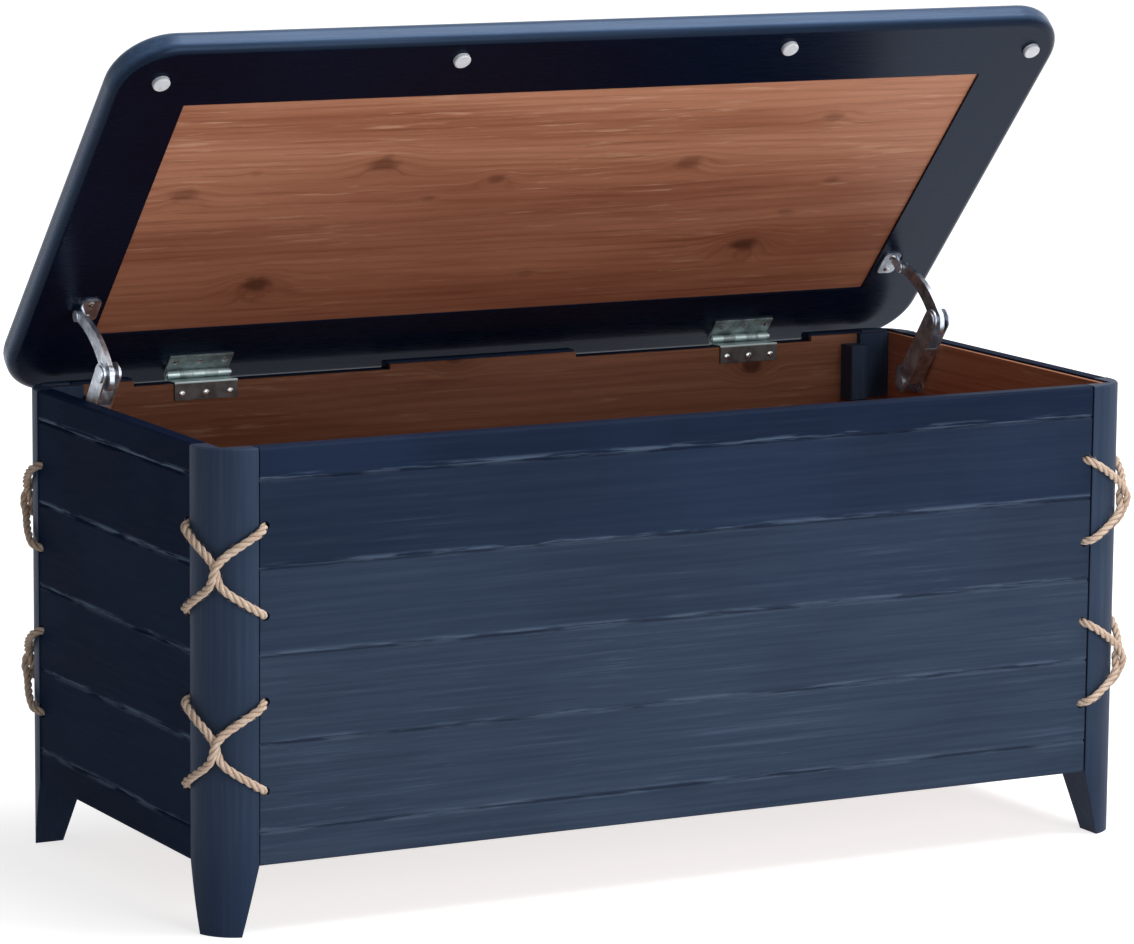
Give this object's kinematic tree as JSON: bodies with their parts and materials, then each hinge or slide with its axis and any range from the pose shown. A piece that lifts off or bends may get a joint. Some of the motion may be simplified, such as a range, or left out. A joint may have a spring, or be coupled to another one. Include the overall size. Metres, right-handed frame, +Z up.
{
  "type": "storage chest",
  "caption": "Painted plank storage chest with cedar inside, rope-lashed corner posts on tapered feet and a hinged lid on folding stays, shown partly open.",
  "frame": {"origin": "on the floor under the middle of the chest's body", "axes": "+X along the chest to its right end, +Y to its back, +Z up"},
  "size_m": [1.034, 0.5015, 0.8178],
  "materials": {
    "navy_paint": "semi-gloss navy paint, lightly dry-brushed along the boards",
    "cedar": "smooth clear-coated red cedar",
    "jute_rope": "twisted natural jute",
    "zinc_plate": "zinc-plated pressed steel",
    "nickel_plate": "bright nickel-plated steel",
    "screw_steel": "bright plated screws",
    "bumper_plastic": "soft off-white plastic"
  },
  "bodies": {
    "body": {"front_left_post": "navy_paint", "front_right_post": "navy_paint", "rear_left_post": "navy_paint", "rear_right_post": "navy_paint", "front_bottom_rail": "navy_paint", "front_board_4": "navy_paint", "front_board_3": "navy_paint", "front_board_2": "navy_paint", "front_board_1": "navy_paint", "front_top_rail": "navy_paint", "left_bottom_rail": "navy_paint", "left_board_4": "navy_paint", "left_board_3": "navy_paint", "left_board_2": "navy_paint", "left_board_1": "navy_paint", "left_top_rail": "navy_paint", "right_bottom_rail": "navy_paint", "right_board_4": "navy_paint", "right_board_3": "navy_paint", "right_board_2": "navy_paint", "right_board_1": "navy_paint", "right_top_rail": "navy_paint", "back_bottom_rail": "navy_paint", "back_board_4": "navy_paint", "back_board_3": "navy_paint", "back_board_2": "navy_paint", "back_board_1": "navy_paint", "back_top_rail": "navy_paint", "rear_corner_blocks": "navy_paint", "front_liner": "cedar", "left_liner": "cedar", "right_liner": "cedar", "back_liner": "cedar", "floor_panel": "cedar", "floor_cleats": "cedar", "front_left_lashing": "jute_rope", "front_right_lashing": "jute_rope", "rear_left_lashing": "jute_rope", "rear_right_lashing": "jute_rope", "left_hinge_lower_leaf": "zinc_plate", "left_stay_wall_bracket": "nickel_plate", "right_hinge_lower_leaf": "zinc_plate", "right_stay_wall_bracket": "nickel_plate", "hinge_pins": "zinc_plate", "body_screws": "screw_steel"},
    "lid": {"lid_panel": "navy_paint", "lid_cedar_panel": "cedar", "lid_bumpers": "bumper_plastic", "lid_screws": "screw_steel", "left_hinge_upper_leaf": "zinc_plate", "left_stay_lid_bracket": "nickel_plate", "right_hinge_upper_leaf": "zinc_plate", "right_stay_lid_bracket": "nickel_plate"},
    "left_lower_arm": {"left_stay_lower_arm": "nickel_plate"},
    "left_upper_arm": {"left_stay_upper_arm": "nickel_plate", "left_stay_elbow_pin": "nickel_plate"},
    "right_lower_arm": {"right_stay_lower_arm": "nickel_plate"},
    "right_upper_arm": {"right_stay_upper_arm": "nickel_plate", "right_stay_elbow_pin": "nickel_plate"}
  },
  "joints": [
    {"name": "lid_hinge", "type": "hinge", "parent": "body", "child": "lid", "pos_m": [0, 0.226, 0.45325], "axis": [-1, 0, 0], "range_deg": [-48, 24]},
    {"name": "left_lower_arm_pivot", "type": "hinge", "parent": "body", "child": "left_lower_arm", "pos_m": [-0.466, 0.1405, 0.4085], "axis": [-1, 0, 0], "range_deg": [-52.8, 26.6]},
    {"name": "left_upper_arm_pivot", "type": "hinge", "parent": "lid", "child": "left_upper_arm", "pos_m": [-0.466, 0.15715, 0.52784], "axis": [-1, 0, 0], "range_deg": [-27, 53.5]},
    {"name": "right_lower_arm_pivot", "type": "hinge", "parent": "body", "child": "right_lower_arm", "pos_m": [0.466, 0.1405, 0.4085], "axis": [-1, 0, 0], "range_deg": [-52.8, 26.6]},
    {"name": "right_upper_arm_pivot", "type": "hinge", "parent": "lid", "child": "right_upper_arm", "pos_m": [0.466, 0.15715, 0.52784], "axis": [-1, 0, 0], "range_deg": [-27, 53.5]}
  ],
  "couplings": [
    {"joint": "left_lower_arm_pivot", "follows": "lid_hinge", "ratio": 1.092},
    {"joint": "left_upper_arm_pivot", "follows": "lid_hinge", "ratio": -1.1043},
    {"joint": "right_lower_arm_pivot", "follows": "lid_hinge", "ratio": 1.092},
    {"joint": "right_upper_arm_pivot", "follows": "lid_hinge", "ratio": -1.1043}
  ]
}
